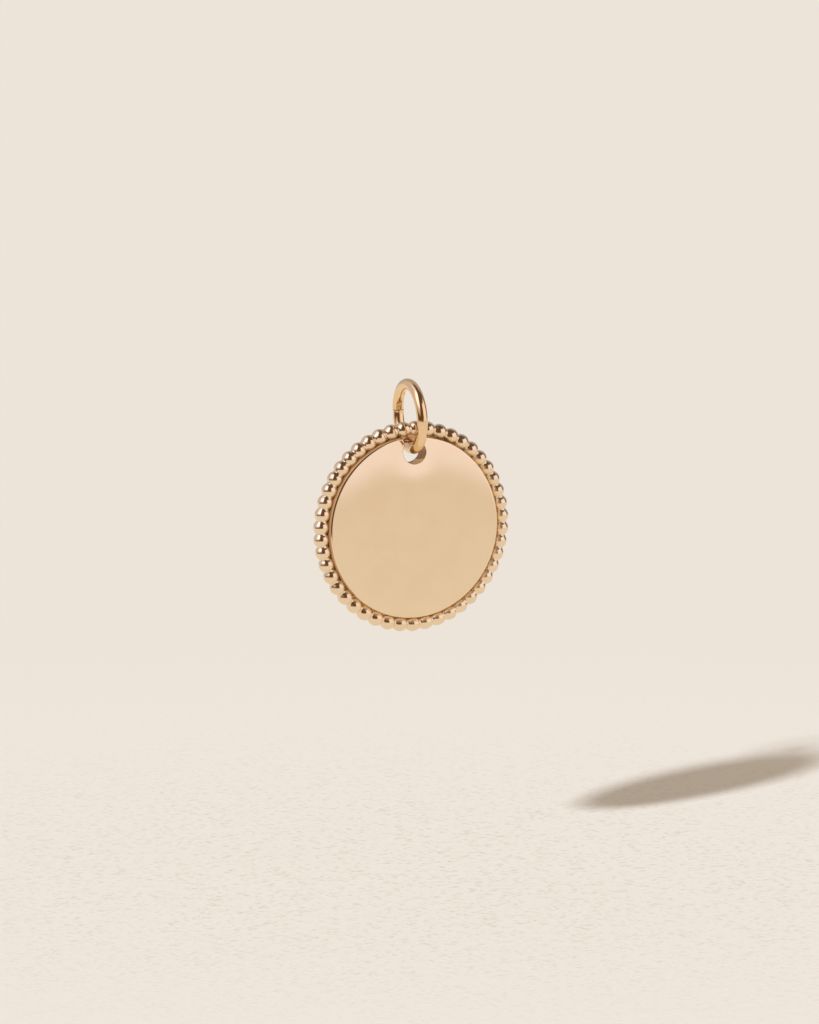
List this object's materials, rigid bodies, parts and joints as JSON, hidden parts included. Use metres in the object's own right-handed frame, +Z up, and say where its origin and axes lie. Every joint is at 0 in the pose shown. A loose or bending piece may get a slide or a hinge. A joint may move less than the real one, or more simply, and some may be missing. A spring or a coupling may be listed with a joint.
{
  "type": "engravable pendant",
  "caption": "Round blank engraving medallion with a soldered beaded rim and a notched hole, hung on a plain jump ring.",
  "frame": {"origin": "inside top of the jump ring, where a chain rests", "axes": "+Z up along the line it hangs in, the blank engraving face towards -Y, and X along the jump ring's axis, the way a chain passes through it"},
  "size_m": [0.015, 0.0054, 0.018],
  "materials": {
    "medallion_gold": "pale yellow gold plating, polished, with a soft sheen on the blank face",
    "ring_gold": "pale yellow gold plating, bright polish"
  },
  "bodies": {
    "ring": {"jump_ring": "ring_gold"},
    "medallion": {"medallion": "medallion_gold"}
  },
  "joints": [
    {"name": "swing", "type": "hinge", "parent": "ring", "child": "medallion", "pos_m": [0, 0, -0.0019], "axis": [1, 0, 0], "range_deg": [-90, 90]}
  ]
}
